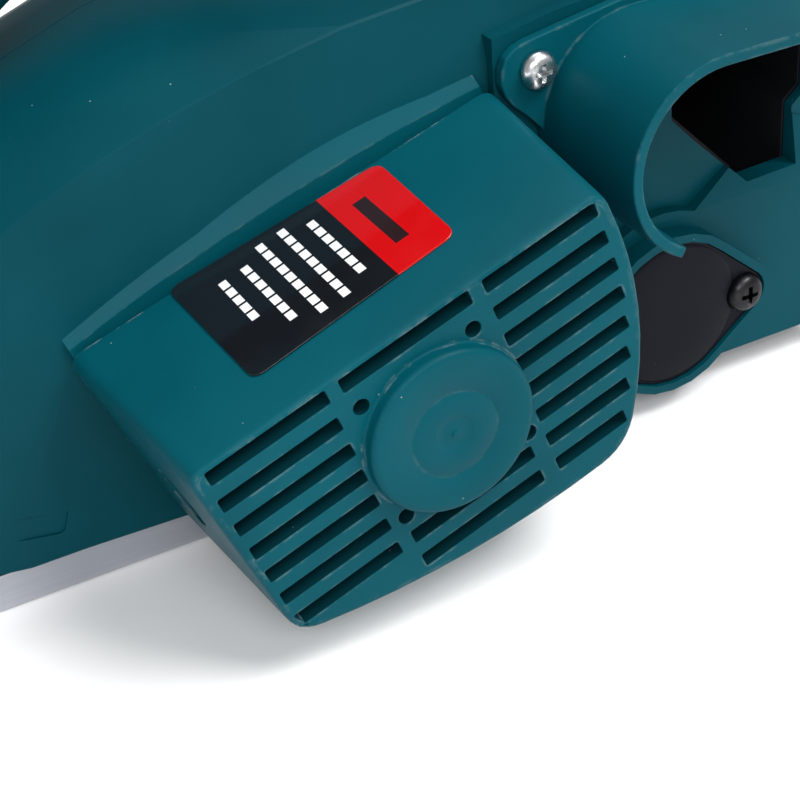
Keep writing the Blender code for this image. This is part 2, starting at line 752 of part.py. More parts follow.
def chip_hood(look):
    outer = arc((HOOD_X, HOOD_Z), HOOD_R, 243, 90, 24) + [(66, HOOD_Z + HOOD_R)]
    outer += arc((66, HOOD_Z + HOOD_R - 12), 12, 84, 0, 8)
    inner = arc((66, HOOD_Z + HOOD_R - 12), 12 - HOOD_WALL, 0, 84, 8)
    inner += [(66, HOOD_Z + HOOD_R - HOOD_WALL)]
    inner += arc((HOOD_X, HOOD_Z), HOOD_R - HOOD_WALL, 90, 243, 24)
    root = -BULGE_Y - GAP
    hood = prism("chip_hood", outer + inner, HOOD_RIM_Y, root, look)
    middle_r = HOOD_R - HOOD_WALL / 2
    tab = arc((HOOD_X, HOOD_Z), middle_r, 184, 90, 8) + [(42, HOOD_Z + middle_r)]
    tab += [(42, 98.0), (24, 97.6), (11.8, 95.8), (5.6, 94.8), (1.0, 94.1), (-2.0, 93.2),
            (-4.1, 91.6), (-5.0, 89.4), (-5.2, 86.5), (-4.4, 83.8), (-2.6, 81.3), (0.4, 78.6)]
    weld(hood, prism("tab", tab, root - 2.4, root, look))
    cut(hood, rod("screw_hole", 2.0 + GAP, root - 5, root + 5, SCREW_SPOT, look, steps=16))
    return hood


SCREW_SPOT = (2.65, 88.0)


def pan_screw(name, spot, under_head, head_r, head_h, shank_r, shank, look, side=-1):
    """A cross-head pan screw whose head faces the given side of Y."""
    def y(depth):
        return under_head + side * depth
    profile = [(shank_r, y(-shank)), (shank_r, y(0)), (head_r, y(0)), (head_r, y(head_h * 0.35)),
               (head_r * 0.82, y(head_h * 0.78)), (head_r * 0.45, y(head_h))]
    screw = lathe(name, profile, spot, look, steps=12)
    arm, half = head_r * 0.62, head_r * 0.13
    for dx, dz in ((arm, half), (half, arm)):
        low, high = sorted((y(head_h * 0.35), y(head_h + 1)))
        cut(screw, block("cross", (spot[0] - dx, low, spot[1] - dz),
                         (spot[0] + dx, high, spot[1] + dz), look))
    return screw


def bearing_cover(look):
    back = -CHEEK_Y
    cover = prism("bearing_cover", discs_hull(cover_discs(), 0.0), -55.4, back - GAP, look)
    dome = [(16.4, -55.0), (16.4, -55.5), (15.6, -55.9), (11.5, -56.35), (6.0, -56.6)]
    weld(cover, lathe("dome", dome, (DRUM_X, DRUM_Z), look, steps=40))
    for x, z, _ in cover_discs()[1:]:
        cut(cover, rod("screw_hole", 2.8, -60, -50, (x, z), look, steps=12),
            rod("head_seat", 4.5 + GAP, -58, -55.4, (x, z), look, steps=20))
    return cover


def belt_cover(look):
    low = CHEEK_Y + GAP
    cover = prism("belt_cover", discs_hull(belt_discs()), low, BELT_COVER_Y - 1.6, look)
    weld(cover, prism("face", discs_hull(belt_discs(), -1.8), low, BELT_COVER_Y, look))
    cut(cover, prism("hollow", discs_hull(belt_discs(), -2.4), low - 1, BELT_COVER_Y - 2.2, look))
    for x, z in COVER_SCREWS:
        weld(cover, rod("post", 4.0, low, BELT_COVER_Y - 2, (x, z), look, steps=16))
        cut(cover, rod("hole", 2.1 + GAP, low - 1, BELT_COVER_Y + 1, (x, z), look, steps=12))
    return cover


COVER_SCREWS = [(-8.5, 58.5), (-8.5, 13.4), (53.2, 13.6)]


def pulley(name, radius, bore, centre, look):
    """A multi-rib pulley with a flange at its inner end."""
    profile = [(bore, BELT_Y0 - 1), (radius + 2, BELT_Y0 - 1), (radius + 2, BELT_Y0)]
    for i in range(PULLEY_RIBS):
        y = BELT_Y0 + 0.4 + i * RIB_PITCH
        profile += [(radius, y), (radius - 1.4, y + RIB_PITCH / 2)]
    profile += [(radius, BELT_Y0 + 8.6), (bore, BELT_Y0 + 8.6)]
    return lathe(name, profile, centre, look, steps=24, hollow=True)


def drive_belt(look):
    discs = [(MOTOR_X, MOTOR_Z, MOTOR_PULLEY_R), (DRUM_X, DRUM_Z, DRUM_PULLEY_R)]
    belt = prism("drive_belt", discs_hull(discs, 2.6), BELT_Y0 + 0.5, BELT_Y1 - 0.9, look)
    return cut(belt, prism("inside", discs_hull(discs, GAP + 0.1), BELT_Y0 - 1, BELT_Y1 + 1, look))


def depth_knob(look):
    z = KNOB_Z
    profile = [(5.4, z), (KNOB_R - 3, z), (KNOB_R - 1, z + 2), (KNOB_R, z + 6),
               (KNOB_R, z + 19), (KNOB_R - 1.5, z + 23), (KNOB_R - 6, z + 26),
               (12, z + 27.5), (5.4, z + 27.5)]
    knob = lathe("depth_knob", profile, (KNOB_X, 0), look, "Z", 36, hollow=True)
    for i in range(12):
        turn = 2 * math.pi * i / 12
        spot = (KNOB_X + 26.4 * math.cos(turn), 26.4 * math.sin(turn))
        cut(knob, rod("grip", 4.0, z + 5, z + 30, spot, look, "Z", 10))
    return knob


def depth_parts():
    centre = (KNOB_X, 0)
    lathe("depth_screw", [(4.0, 5), (4.0, 24), (4.9, 25), (4.9, KNOB_Z + 22), (3.0, KNOB_Z + 24)],
          centre, steel(), "Z", 24)
    tube("scale_ring", 14.0, KNOB_R - 0.4, KNOB_Z - 3.6, KNOB_Z - GAP, centre, aluminium(), "Z", 36)
    lathe("knob_cap", [(8.6, KNOB_Z + 27.8), (8.6, KNOB_Z + 29), (5.5, KNOB_Z + 29.8)], centre,
          finish("cap_grey", (0.2, 0.2, 0.21), 0.4), "Z", 32)
    knob_spring(steel())


def knob_spring(look):
    """The compression spring that pushes the front shoe down, round the depth screw."""
    turns, per_turn, sides = 4, 10, 5
    wire, radius, low, high = 0.8, 8.0, 21.4, 38.0
    rings = []
    for i in range(turns * per_turn + 1):
        turn = 2 * math.pi * i / per_turn
        z = low + wire + (high - low - 2 * wire) * i / (turns * per_turn)
        ring = []
        for j in range(sides):
            a = 2 * math.pi * j / sides
            r = radius + wire * math.cos(a)
            ring.append((KNOB_X + r * math.cos(turn), r * math.sin(turn), z + wire * math.sin(a)))
        rings.append(ring)
    return loft("knob_spring", rings, look)


def guide_bracket(look):
    """The fixed bracket that the front shoe's slider runs in; it hangs from the nose."""
    x0, x1, z1 = 76 - GAP, 92 + GAP, 40.5
    bracket = block("guide_bracket", (x0 - 3, -30, 10.2), (x1 + 3, 30, z1), look)
    cut(bracket, block("way", (x0, -24 - GAP, 5), (x1, 24 + GAP, 38), look))
    return bracket


def chip_chute(look):
    """The duct that turns the chips sideways, open below over the cutter."""
    outer = [(34.9, 67.5), (52.5, 48.3), (54.4, 49.9), (37.2, 67.6), (37.2, 85.6), (42.4, 90.2),
             (62.9, 90.2), (71.6, 77.6), (71.6, 65.0), (67.9, 61.8), (67.9, 12), (70.1, 12),
             (70.1, 60.8), (73.8, 64.0), (73.8, 78.3), (64.1, 92.2), (41.6, 92.4), (34.9, 86.6)]
    duct = prism("chip_chute", outer, -45.6, 38.0, look)
    end = [(35, 67.5), (52.6, 48.6), (69.9, 46), (69.9, 61), (73.6, 64.2), (73.6, 78.2),
           (64.0, 92.0), (41.7, 92.2), (35, 86.4)]
    return weld(duct, prism("end_wall", end, 36.0, 38.0, look))


# ---------------------------------------------------------------- handle pieces

def trigger(look):
    """A finger lever under the front of the grip; it turns on a pin at its front end."""
    outline = [(TRIGGER_X, TRIGGER_Z - 2), (TRIGGER_X + 1.5, TRIGGER_Z + 2.5),
               (TRIGGER_X - 3, TRIGGER_Z + 4), (-36, 145), (-38.6, 142), (-37.5, 135.5),
               (-33, 131.6), (-24, 130.4), (-13, 132.2), (-6, 135.8)]
    return prism("trigger", outline, -TRIGGER_HALF, TRIGGER_HALF, look)


def handle_parts():
    trigger(black_plastic())
    block("switch_body", (-47, -9, 152.0), (-28, 9, 157.6), finish("switch_grey", (0.1, 0.1, 0.11), 0.5))
    rod("lock_button", BUTTON_R, -20.8, -12.2, (BUTTON_X, BUTTON_Z), black_plastic(), "Y", 20)
    lathe("cord_inlet", [(3.6, -144.0), (8.4, -144.0), (9.8, -142.8), (9.8, -141.4),
                         (8.0, -141.4), (8.0, -128), (3.6, -128)], (0, INLET_Z), rubber(), "X", 20,
          hollow=True)
    for i, (x, z) in enumerate(HANDLE_SCREWS):
        pan_screw(f"handle_screw_{i + 1}", (x, z), 9.8, 3.5, 2.6, 1.6, 17, steel(), side=1)


def warning_label(look):
    """The thin plate on top of the motor casing, lying on its drafted face."""
    outline = bowed([(-25.4, -45.4), (-24.6, -81.6), (20.5, -80.2), (21.4, -49.6)],
                    (0, 0, 0, 0), (2.6,) * 4, 1, 4)
    rings = []
    for lift in (0.12, 0.42):
        ring = []
        for u, y in outline:
            t = (y - FACE_Y) / (root_y(u) - FACE_Y)
            v = FACE_CORNERS[0][1] + (ROOT_CORNERS[0][1] - FACE_CORNERS[0][1]) * t + lift
            x, z = lean(u, v)
            ring.append((x, y, z))
        rings.append(ring)
    return loft("label_plate", rings, look)


# ---------------------------------------------------------------- assembly

def build():
    for old in list(bpy.data.objects):
        bpy.data.objects.remove(old, do_unlink=True)
    drum_axis = (DRUM_X, DRUM_Z)
    motor_axis = (MOTOR_X, MOTOR_Z)
    rear_base(aluminium())
    front_base(aluminium())
    cutter_drum(finish("drum_steel", (0.42, 0.42, 0.44), 0.35, 1.0))
    bearing("drum_bearing_right", 5.0, 13.0, -50.4, -44.2, drum_axis, steel())
    bearing("drum_bearing_left", 5.0, 13.0, 44.2, 50.4, drum_axis, steel())
    for half, word in ((False, "upper"), (True, "lower")):
        blade(f"blade_{word}", half, finish("blade_steel", (0.7, 0.7, 0.72), 0.2, 1.0))
        blade_clamp(f"blade_clamp_{word}", half, steel())
        for i, y in enumerate(BOLT_YS):
            clamp_bolt(f"clamp_bolt_{word}_{i + 1}", y, half, finish("bolt_black", BLACK, 0.35, 1.0))
    housings(teal_plastic())
    motor_housing(teal_plastic())
    stator(finish("lamination", (0.3, 0.3, 0.32), 0.4, 1.0))
    field_coils(copper())
    armature(steel())
    commutator(copper())
    fan(black_plastic())
    air_baffle(black_plastic())
    bearing("motor_bearing_right", 3.2 + GAP, 9.5, -86.5, -80.5, motor_axis, steel())
    bearing("motor_bearing_left", 4.2 + GAP, 13.0, 33.5, 40.4, motor_axis, steel())
    brush_set(-1, "rear")
    brush_set(1, "front")
    chip_hood(teal_plastic())
    zinc = finish("zinc", (0.68, 0.69, 0.7), 0.22, 1.0)
    pan_screw("hood_screw", SCREW_SPOT, -BULGE_Y - 2.4 - 2 * GAP, 3.9, 2.8, 2.0, 2.6, zinc)
    bearing_cover(black_plastic())
    black_screw = finish("black_screw", (0.02, 0.02, 0.022), 0.3, 1.0)
    for i, (x, z, _) in enumerate(cover_discs()[1:]):
        word = ("front", "rear")[i]
        pan_screw(f"cover_screw_{word}", (x, z), -55.7, 4.5, 2.6, 2.4, 3.9, black_screw)
    chip_chute(black_plastic())
    belt_cover(black_plastic())
    for i, spot in enumerate(COVER_SCREWS):
        pan_screw(f"belt_cover_screw_{i + 1}", spot, BELT_COVER_Y + GAP, 3.8, 2.4, 2.1, 13.4,
                  black_screw, side=1)
    pulley("motor_pulley", MOTOR_PULLEY_R, 4.0, motor_axis, steel())
    pulley("drum_pulley", DRUM_PULLEY_R, 5.0, drum_axis, aluminium())
    drive_belt(rubber())
    depth_knob(black_plastic())
    depth_parts()
    guide_bracket(aluminium())
    handle_parts()
    warning_label(finish("label_film", (0.02, 0.02, 0.02), 0.2))


build()
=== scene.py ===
"""The looks of an electric hand planer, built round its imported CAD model."""
import json
import math

import bmesh
import bpy
from mathutils import Matrix, Vector


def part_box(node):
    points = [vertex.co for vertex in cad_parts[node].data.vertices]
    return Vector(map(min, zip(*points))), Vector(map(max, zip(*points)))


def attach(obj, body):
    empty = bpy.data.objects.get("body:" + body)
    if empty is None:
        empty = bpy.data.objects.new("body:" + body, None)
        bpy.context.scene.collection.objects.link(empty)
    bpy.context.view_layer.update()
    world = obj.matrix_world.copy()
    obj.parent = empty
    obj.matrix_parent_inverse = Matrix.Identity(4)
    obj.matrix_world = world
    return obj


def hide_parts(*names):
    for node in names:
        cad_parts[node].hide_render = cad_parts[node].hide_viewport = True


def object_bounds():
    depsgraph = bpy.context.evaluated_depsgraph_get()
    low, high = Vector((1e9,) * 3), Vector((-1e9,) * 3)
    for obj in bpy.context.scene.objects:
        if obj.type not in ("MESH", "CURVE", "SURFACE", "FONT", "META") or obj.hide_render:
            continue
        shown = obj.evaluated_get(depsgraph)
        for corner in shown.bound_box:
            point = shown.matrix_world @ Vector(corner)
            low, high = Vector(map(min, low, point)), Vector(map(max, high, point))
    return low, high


MM = 0.001
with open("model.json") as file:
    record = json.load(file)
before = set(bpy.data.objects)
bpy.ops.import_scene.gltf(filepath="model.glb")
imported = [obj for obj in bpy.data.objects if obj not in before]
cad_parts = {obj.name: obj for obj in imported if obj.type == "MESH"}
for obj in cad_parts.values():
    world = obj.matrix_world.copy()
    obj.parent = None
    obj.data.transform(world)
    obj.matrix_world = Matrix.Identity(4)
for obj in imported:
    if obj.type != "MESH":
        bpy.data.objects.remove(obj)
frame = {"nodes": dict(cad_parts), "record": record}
NODES = frame["nodes"]
CAD_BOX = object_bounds()


# ---------------------------------------------------------------- places read from the frame

def middle(node):
    low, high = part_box(node)
    return (low + high) / 2


MOTOR = middle("commutator")
MOTOR_X, MOTOR_Z = MOTOR.x / MM, MOTOR.z / MM
BOSS_HEIGHT = 3.1
FACE_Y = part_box("motor_housing")[0].y / MM + BOSS_HEIGHT     # the grille's outer face
TILT = math.radians(19.44)                                   # how far the casing leans


# ---------------------------------------------------------------- node tree helpers

class Look:
    """A node material under construction, with its Principled shader.

    Texture scales are per metre, as object coordinates are in metres.
    """

    def __init__(self, name, **sockets):
        self.material = bpy.data.materials.new(name)
        self.material.use_nodes = True
        self.tree = self.material.node_tree
        self.shader = self.tree.nodes["Principled BSDF"]
        self.place = self.add("ShaderNodeTexCoord").outputs["Object"]
        for socket, value in sockets.items():
            self.set(socket.replace("_", " "), value)

    def set(self, socket, value):
        if isinstance(value, tuple) and len(value) == 3:
            value = (*value, 1.0)
        self.shader.inputs[socket].default_value = value

    def add(self, kind, **values):
        node = self.tree.nodes.new(kind)
        for key, value in values.items():
            setattr(node, key, value)
        return node

    def link(self, out, into):
        self.tree.links.new(out, into)

    def mapped(self, scale=(1, 1, 1), turn=(0, 0, 0), shift=(0, 0, 0)):
        node = self.add("ShaderNodeMapping")
        node.inputs["Scale"].default_value = scale
        node.inputs["Rotation"].default_value = turn
        node.inputs["Location"].default_value = shift
        self.link(self.place, node.inputs["Vector"])
        return node.outputs["Vector"]

    def noise(self, scale, detail=2.0, rough=0.5, at=None):
        node = self.add("ShaderNodeTexNoise")
        node.inputs["Scale"].default_value = scale
        node.inputs["Detail"].default_value = detail
        node.inputs["Roughness"].default_value = rough
        self.link(at or self.place, node.inputs["Vector"])
        return node.outputs["Fac"]

    def cells(self, scale):
        node = self.add("ShaderNodeTexVoronoi", feature="F1")
        node.inputs["Scale"].default_value = scale
        self.link(self.place, node.inputs["Vector"])
        return node.outputs["Distance"]

    def span(self, value, low, high, to_low=0.0, to_high=1.0):
        node = self.add("ShaderNodeMapRange", clamp=True)
        for name, number in (("From Min", low), ("From Max", high), ("To Min", to_low),
                             ("To Max", to_high)):
            node.inputs[name].default_value = number
        self.link(value, node.inputs["Value"])
        return node.outputs["Result"]

    def maths(self, operation, a, b=None):
        node = self.add("ShaderNodeMath", operation=operation)
        for i, value in enumerate((a, b)):
            if value is None:
                continue
            if isinstance(value, (int, float)):
                node.inputs[i].default_value = value
            else:
                self.link(value, node.inputs[i])
        return node.outputs["Value"]

    def mix(self, factor, a, b):
        node = self.add("ShaderNodeMix", data_type="RGBA")
        if isinstance(factor, float):
            node.inputs["Factor"].default_value = factor
        else:
            self.link(factor, node.inputs["Factor"])
        for name, value in (("A", a), ("B", b)):
            socket = [s for s in node.inputs if s.name == name and s.type == "RGBA"][0]
            if isinstance(value, tuple):
                socket.default_value = (*value, 1.0)
            else:
                self.link(value, socket)
        return [s for s in node.outputs if s.type == "RGBA"][0]

    def colour(self, value):
        self.link(value, self.shader.inputs["Base Color"])

    def roughness(self, value):
        self.link(value, self.shader.inputs["Roughness"])

    def bump(self, *layers):
        """Bump layers of (height, distance in mm, strength), stacked."""
        normal = None
        for height, distance, strength in layers:
            node = self.add("ShaderNodeBump")
            node.inputs["Distance"].default_value = distance * MM
            node.inputs["Strength"].default_value = strength
            self.link(height, node.inputs["Height"])
            if normal:
                self.link(normal, node.inputs["Normal"])
            normal = node.outputs["Normal"]
        self.link(normal, self.shader.inputs["Normal"])

    def edges(self, radius):
        """Near 1 where the surface turns within the radius in mm, else 0."""
        bevel = self.add("ShaderNodeBevel", samples=6)
        bevel.inputs["Radius"].default_value = radius * MM
        flat = self.add("ShaderNodeNewGeometry").outputs["Normal"]
        dot = self.add("ShaderNodeVectorMath", operation="DOT_PRODUCT")
        self.link(bevel.outputs["Normal"], dot.inputs[0])
        self.link(flat, dot.inputs[1])
        return self.span(dot.outputs["Value"], 0.995, 0.85)


def shade(colour, factor):
    return tuple(min(1.0, c * factor) for c in colour)


# ---------------------------------------------------------------- materials

TEAL = (0.0004, 0.058, 0.078)
# Painted shade: the body's teal is a darker copy of the casing's teal, for the lesser light falling
# on the body.
# Painted shade: the slots' walls take a darker copy still, for the shade inside the slots.
BODY_PAINTED_SHADE, SLOT_PAINTED_SHADE = 0.74, 0.35
DUST_COLOUR, RUBBED_COLOUR = (0.42, 0.46, 0.46), (0.36, 0.42, 0.40)
DUST = 0.5
RUBBED_WIDTH = 0.9


def moulded(name, colour, rough=0.42, grain=0.35, wear=0.0, tint=0.12):
    """Moulded plastic: spark-eroded grain, cloudy sheen, a few dust specks and rubbed edges."""
    look = Look(name, Roughness=rough, Specular_IOR_Level=0.06)
    cloud = look.noise(22, 3)
    base = look.mix(look.span(cloud, 0.35, 0.65), shade(colour, 1 - tint), shade(colour, 1 + tint))
    speck = look.cells(230)
    rare = look.noise(90, 1)
    specks = look.maths("MULTIPLY", look.span(speck, 0.045, 0.02),
                        look.span(rare, 0.56, 0.6, 0.0, DUST))
    base = look.mix(specks, base, DUST_COLOUR)
    fine = look.noise(2600, 2)
    level = look.span(cloud, 0.3, 0.7, rough - 0.05, rough + 0.06)
    if wear:
        edge = look.edges(RUBBED_WIDTH)
        patchy = look.span(look.noise(160, 4, 0.7), 0.5, 0.62)
        worn = look.maths("MULTIPLY", edge, patchy)
        worn = look.maths("MULTIPLY", worn, wear)
        base = look.mix(worn, base, RUBBED_COLOUR)
    look.colour(base)
    look.roughness(look.maths("ADD", level, look.maths("MULTIPLY", specks, 0.3)))
    look.bump((look.noise(300, 2), 0.10, grain * 0.25), (fine, 0.05, grain))
    return look.material


def brushed(name, colour, rough=0.32, along=(6, 900, 900)):
    """Machined metal with duller patches and fine lines along the axis of the lowest scale."""
    look = Look(name, Metallic=1.0, Roughness=rough, Anisotropic=0.45)
    lines = look.noise(1.0, 4, 0.7, look.mapped(along))
    patches = look.noise(35, 3)
    tone = look.mix(look.span(lines, 0.25, 0.75), shade(colour, 0.86), shade(colour, 1.06))
    tone = look.mix(look.span(patches, 0.3, 0.75, 0.0, 0.35), tone, shade(colour, 0.72))
    look.colour(tone)
    look.roughness(look.span(patches, 0.3, 0.7, rough - 0.07, rough + 0.10))
    look.bump((lines, 0.03, 0.25))
    return look.material


def plated(name, colour, rough=0.24):
    """Plated fastener steel: bright with dull spots and fine tool marks."""
    look = Look(name, Metallic=1.0, Roughness=rough)
    spots = look.noise(900, 4, 0.65)
    look.colour(look.mix(look.span(spots, 0.35, 0.7), colour, shade(colour, 0.62)))
    look.roughness(look.span(spots, 0.3, 0.7, rough - 0.08, rough + 0.18))
    look.bump((look.noise(2400, 3), 0.02, 0.5))
    return look.material


def rubbery(name, colour, rough=0.72):
    """Dull rubber or carbon with a pale bloom."""
    look = Look(name, Roughness=rough, Specular_IOR_Level=0.35)
    bloom = look.noise(60, 4)
    look.colour(look.mix(look.span(bloom, 0.35, 0.7), colour, shade(colour, 2.2)))
    look.roughness(look.span(bloom, 0.3, 0.7, rough - 0.08, rough + 0.12))
    look.bump((look.noise(1500, 3), 0.05, 0.5))
    return look.material


def wound_copper(name):
    """Enamelled wire in neat layers."""
    look = Look(name, Metallic=1.0, Roughness=0.3)
    wave = look.add("ShaderNodeTexWave", wave_type="RINGS", rings_direction="Y")
    wave.inputs["Scale"].default_value = 420
    wave.inputs["Distortion"].default_value = 0.6
    look.link(look.mapped(shift=(-MOTOR.x, 0, -MOTOR.z)), wave.inputs["Vector"])
    look.colour(look.mix(wave.outputs["Fac"], (0.30, 0.09, 0.03), (0.80, 0.34, 0.16)))
    look.bump((wave.outputs["Fac"], 0.3, 0.8))
    return look.material


def laminated(name, colour):
    """Stacked sheet: thin lines across the motor's axis."""
    look = Look(name, Metallic=1.0, Roughness=0.42)
    wave = look.add("ShaderNodeTexWave", wave_type="BANDS", bands_direction="Y")
    wave.inputs["Scale"].default_value = 320
    look.link(look.place, wave.inputs["Vector"])
    look.colour(look.mix(wave.outputs["Fac"], shade(colour, 0.6), shade(colour, 1.2)))
    look.bump((wave.outputs["Fac"], 0.15, 0.6))
    return look.material


LABEL_BLACK, LABEL_RED = (0.006, 0.006, 0.008), (0.47, 0.002, 0.003)
BAR_WHITE, BAR_BLACK = (0.75, 0.76, 0.78), (0.02, 0.008, 0.009)
RED_FROM = 9.6                      # the red third starts here, from the label's middle
INK_BLUR = 0.03
DASH_PITCH = 3.1
WHITE_BAR_WIDTH = 1.7
WHITE_BARS = [(5.6, -74.4, -52.7), (0.4, -77.5, -49.6), (-4.6, -77.5, -49.6),
              (-9.6, -74.4, -52.7), (-14.6, -68.2, -52.7)]      # place along the label, y ends
BLACK_BAR, BLACK_BAR_WIDTH = (15.2, -73.0, -56.0), 3.0


def label_film(name):
    """A two-colour film under gloss with plain bars: a red third and a black two thirds."""
    look = Look(name, Roughness=0.15, Coat_Weight=0.6, Coat_Roughness=0.05)
    parts = look.add("ShaderNodeSeparateXYZ")
    look.link(look.mapped(turn=(0, TILT, 0)), parts.inputs["Vector"])
    centre = middle("label_plate")
    u0 = centre.x * math.cos(TILT) + centre.z * math.sin(TILT)
    u, y = parts.outputs["X"], parts.outputs["Y"]
    blur = INK_BLUR * MM

    def inside(value, low, high):
        rise = look.span(value, low - blur, low + blur)
        fall = look.span(value, high + blur, high - blur)
        return look.maths("MULTIPLY", rise, fall)

    def bar(across, y_from, y_to, width):
        strip = inside(u, u0 + (across - width / 2) * MM, u0 + (across + width / 2) * MM)
        return look.maths("MULTIPLY", strip, inside(y, y_from * MM, y_to * MM))

    is_red = look.span(u, u0 + RED_FROM * MM, u0 + (RED_FROM + 2 * INK_BLUR) * MM)
    base = look.mix(is_red, LABEL_BLACK, LABEL_RED)
    dashes = look.maths("FRACT", look.maths("MULTIPLY", y, 1 / (DASH_PITCH * MM)))
    dashes = look.maths("MULTIPLY", look.span(dashes, 0.08, 0.12), look.span(dashes, 0.92, 0.88))
    for place in WHITE_BARS:
        mark = look.maths("MULTIPLY", bar(*place, WHITE_BAR_WIDTH), dashes)
        base = look.mix(mark, base, BAR_WHITE)
    base = look.mix(bar(*BLACK_BAR, BLACK_BAR_WIDTH), base, BAR_BLACK)
    look.colour(base)
    sheen = look.noise(140, 2)
    look.roughness(look.span(sheen, 0.3, 0.7, 0.10, 0.2))
    look.bump((look.noise(45, 2), 0.05, 0.2))
    return look.material


MATERIALS = {
    # The body's teal, darkened as painted shade.
    "teal_plastic": lambda n: moulded(n, shade(TEAL, BODY_PAINTED_SHADE)),
    "black_plastic": lambda n: moulded(n, (0.008, 0.009, 0.011), 0.42, 0.5, tint=0.2),
    "cover_black": lambda n: moulded(n, (0.0045, 0.005, 0.008), 0.3, 0.2, tint=0.2),
    "aluminium": lambda n: brushed(n, (0.50, 0.515, 0.565)),
    "drum_metal": lambda n: brushed(n, (0.55, 0.55, 0.57), 0.3, (900, 8, 900)),
    "steel": lambda n: brushed(n, (0.58, 0.58, 0.60), 0.28, (500, 500, 500)),
    "blade_steel": lambda n: brushed(n, (0.72, 0.73, 0.75), 0.16, (900, 6, 900)),
    "lamination": lambda n: laminated(n, (0.32, 0.32, 0.35)),
    "copper": wound_copper,
    "brass": lambda n: brushed(n, (0.78, 0.56, 0.22), 0.3, (500, 500, 500)),
    "carbon": lambda n: rubbery(n, (0.03, 0.03, 0.033), 0.55),
    "rubber": lambda n: rubbery(n, (0.018, 0.018, 0.019)),
    "zinc": lambda n: plated(n, (0.78, 0.79, 0.80)),
    "black_screw": lambda n: plated(n, (0.035, 0.035, 0.038), 0.34),
    "label_film": label_film,
    "cap_grey": lambda n: moulded(n, (0.10, 0.10, 0.11), 0.35, 0.3),
}


LIT_COPY_NODES = ("chip_hood",)              # the casing's teal, lighter than the body's painted-shade copy
FINE_EDGE = 0.35
EDGE_WIDTH = {"motor_housing": 0.6, "housing_right": 0.5, "housing_left": 0.5, "chip_hood": 0.7,
              "bearing_cover": 0.6, "rear_base": 0.3, "front_base": 0.3, "belt_cover": 1.0,
              "depth_knob": 0.9, "knob_spring": 0.0, "label_plate": 0.08, "drive_belt": 0.2,
              "trigger": 1.2, "lock_button": 0.8}
SHARP_FROM = math.radians(25)
FLAT_WITHIN = math.radians(0.4)
WELD_WITHIN = 0.01


def dress_nodes(made):
    """Every CAD node gets its slot's material, clean edges and smooth rounds."""
    slots = {row["node"]: row["material_slot"] for row in frame["record"]["subparts"]}
    for name, node in NODES.items():
        node.data.materials.clear()
        # The chip hood takes the casing's lighter teal, not the body's painted-shade copy.
        node.data.materials.append(made["casing" if name in LIT_COPY_NODES else slots[name]])
        clean_edges(node, EDGE_WIDTH.get(name, FINE_EDGE))


def clean_edges(node, width):
    """Joins the flat faces that the CAD split into triangles, and rounds the real edges."""
    mesh = node.data
    if "custom_normal" in mesh.attributes:
        mesh.attributes.remove(mesh.attributes["custom_normal"])
    mesh.shade_smooth()
    mesh.set_sharp_from_angle(angle=SHARP_FROM)
    weld = node.modifiers.new("weld", "WELD")
    weld.merge_threshold = WELD_WITHIN * MM
    flat = node.modifiers.new("flat", "DECIMATE")
    flat.decimate_type = "DISSOLVE"
    flat.angle_limit = FLAT_WITHIN
    if width:
        bevel = node.modifiers.new("round", "BEVEL")
        bevel.width = width * MM
        bevel.segments = 3
        bevel.limit_method = "ANGLE"
        bevel.angle_limit = SHARP_FROM
        bevel.miter_outer = "MITER_ARC"
    normals = node.modifiers.new("normals", "WEIGHTED_NORMAL")
    normals.keep_sharp = True


# ---------------------------------------------------------------- finer pieces

def lean(u, v):
    """A place in the leaning outline frame of the motor, as world x and z."""
    c, s = math.cos(TILT), math.sin(TILT)
    return (MOTOR_X + u * c - v * s, MOTOR_Z + u * s + v * c)


def mesh_of(points, faces):
    """A mesh from points in mm, its faces turned outward."""
    mesh = bpy.data.meshes.new("piece")
    mesh.from_pydata([Vector(p) * MM for p in points], [], faces)
    shape = bmesh.new()
    shape.from_mesh(mesh)
    bmesh.ops.recalc_face_normals(shape, faces=shape.faces)
    if shape.calc_volume(signed=True) < 0:
        bmesh.ops.reverse_faces(shape, faces=shape.faces)
    shape.to_mesh(mesh)
    shape.free()
    return mesh


def rings_mesh(rings, closed=False):
    """Rings of equal length joined in order, the ends capped unless closed."""
    count = len(rings[0])
    points = [p for ring in rings for p in ring]
    faces = []
    for i in range(len(rings) if closed else len(rings) - 1):
        here, there = i * count, ((i + 1) % len(rings)) * count
        for j in range(count):
            k = (j + 1) % count
            faces.append((here + j, here + k, there + k, there + j))
    if not closed:
        faces += [tuple(range(count)), tuple(range(len(points) - count, len(points)))]
    return mesh_of(points, faces)


def turned(profile, x, z, steps=64, closed=False):
    """(radius, y) points turned about an axis along Y through x, z."""
    rings = []
    for radius, y in profile:
        turns = [2 * math.pi * i / steps for i in range(steps)]
        rings.append([(x + radius * math.cos(t), y, z + radius * math.sin(t)) for t in turns])
    return rings_mesh(rings, closed)


def piece_of(name, mesh, material):
    """An object in the scene with the mesh and one material."""
    made = bpy.data.objects.new(name, mesh)
    bpy.context.scene.collection.objects.link(made)
    mesh.materials.clear()
    mesh.materials.append(material)
    return made


def carved(mesh, *tools):
    """The mesh with the tools' volumes taken away."""
    piece = piece_of("carving", mesh, None)
    for tool in tools:
        other = piece_of("tool", tool, None)
        step = piece.modifiers.new("cut", "BOOLEAN")
        step.operation, step.solver, step.object = "DIFFERENCE", "EXACT", other
        graph = bpy.context.evaluated_depsgraph_get()
        piece.data = bpy.data.meshes.new_from_object(piece.evaluated_get(graph))
        piece.modifiers.clear()
        bpy.data.objects.remove(other)
    made = piece.data
    bpy.data.objects.remove(piece)
    return made


def joined(*meshes):
    """The meshes' faces in one mesh, their material numbers kept."""
    shape = bmesh.new()
    for mesh in meshes:
        shape.from_mesh(mesh)
    made = bpy.data.meshes.new("joined")
    shape.to_mesh(made)
    shape.free()
    return made


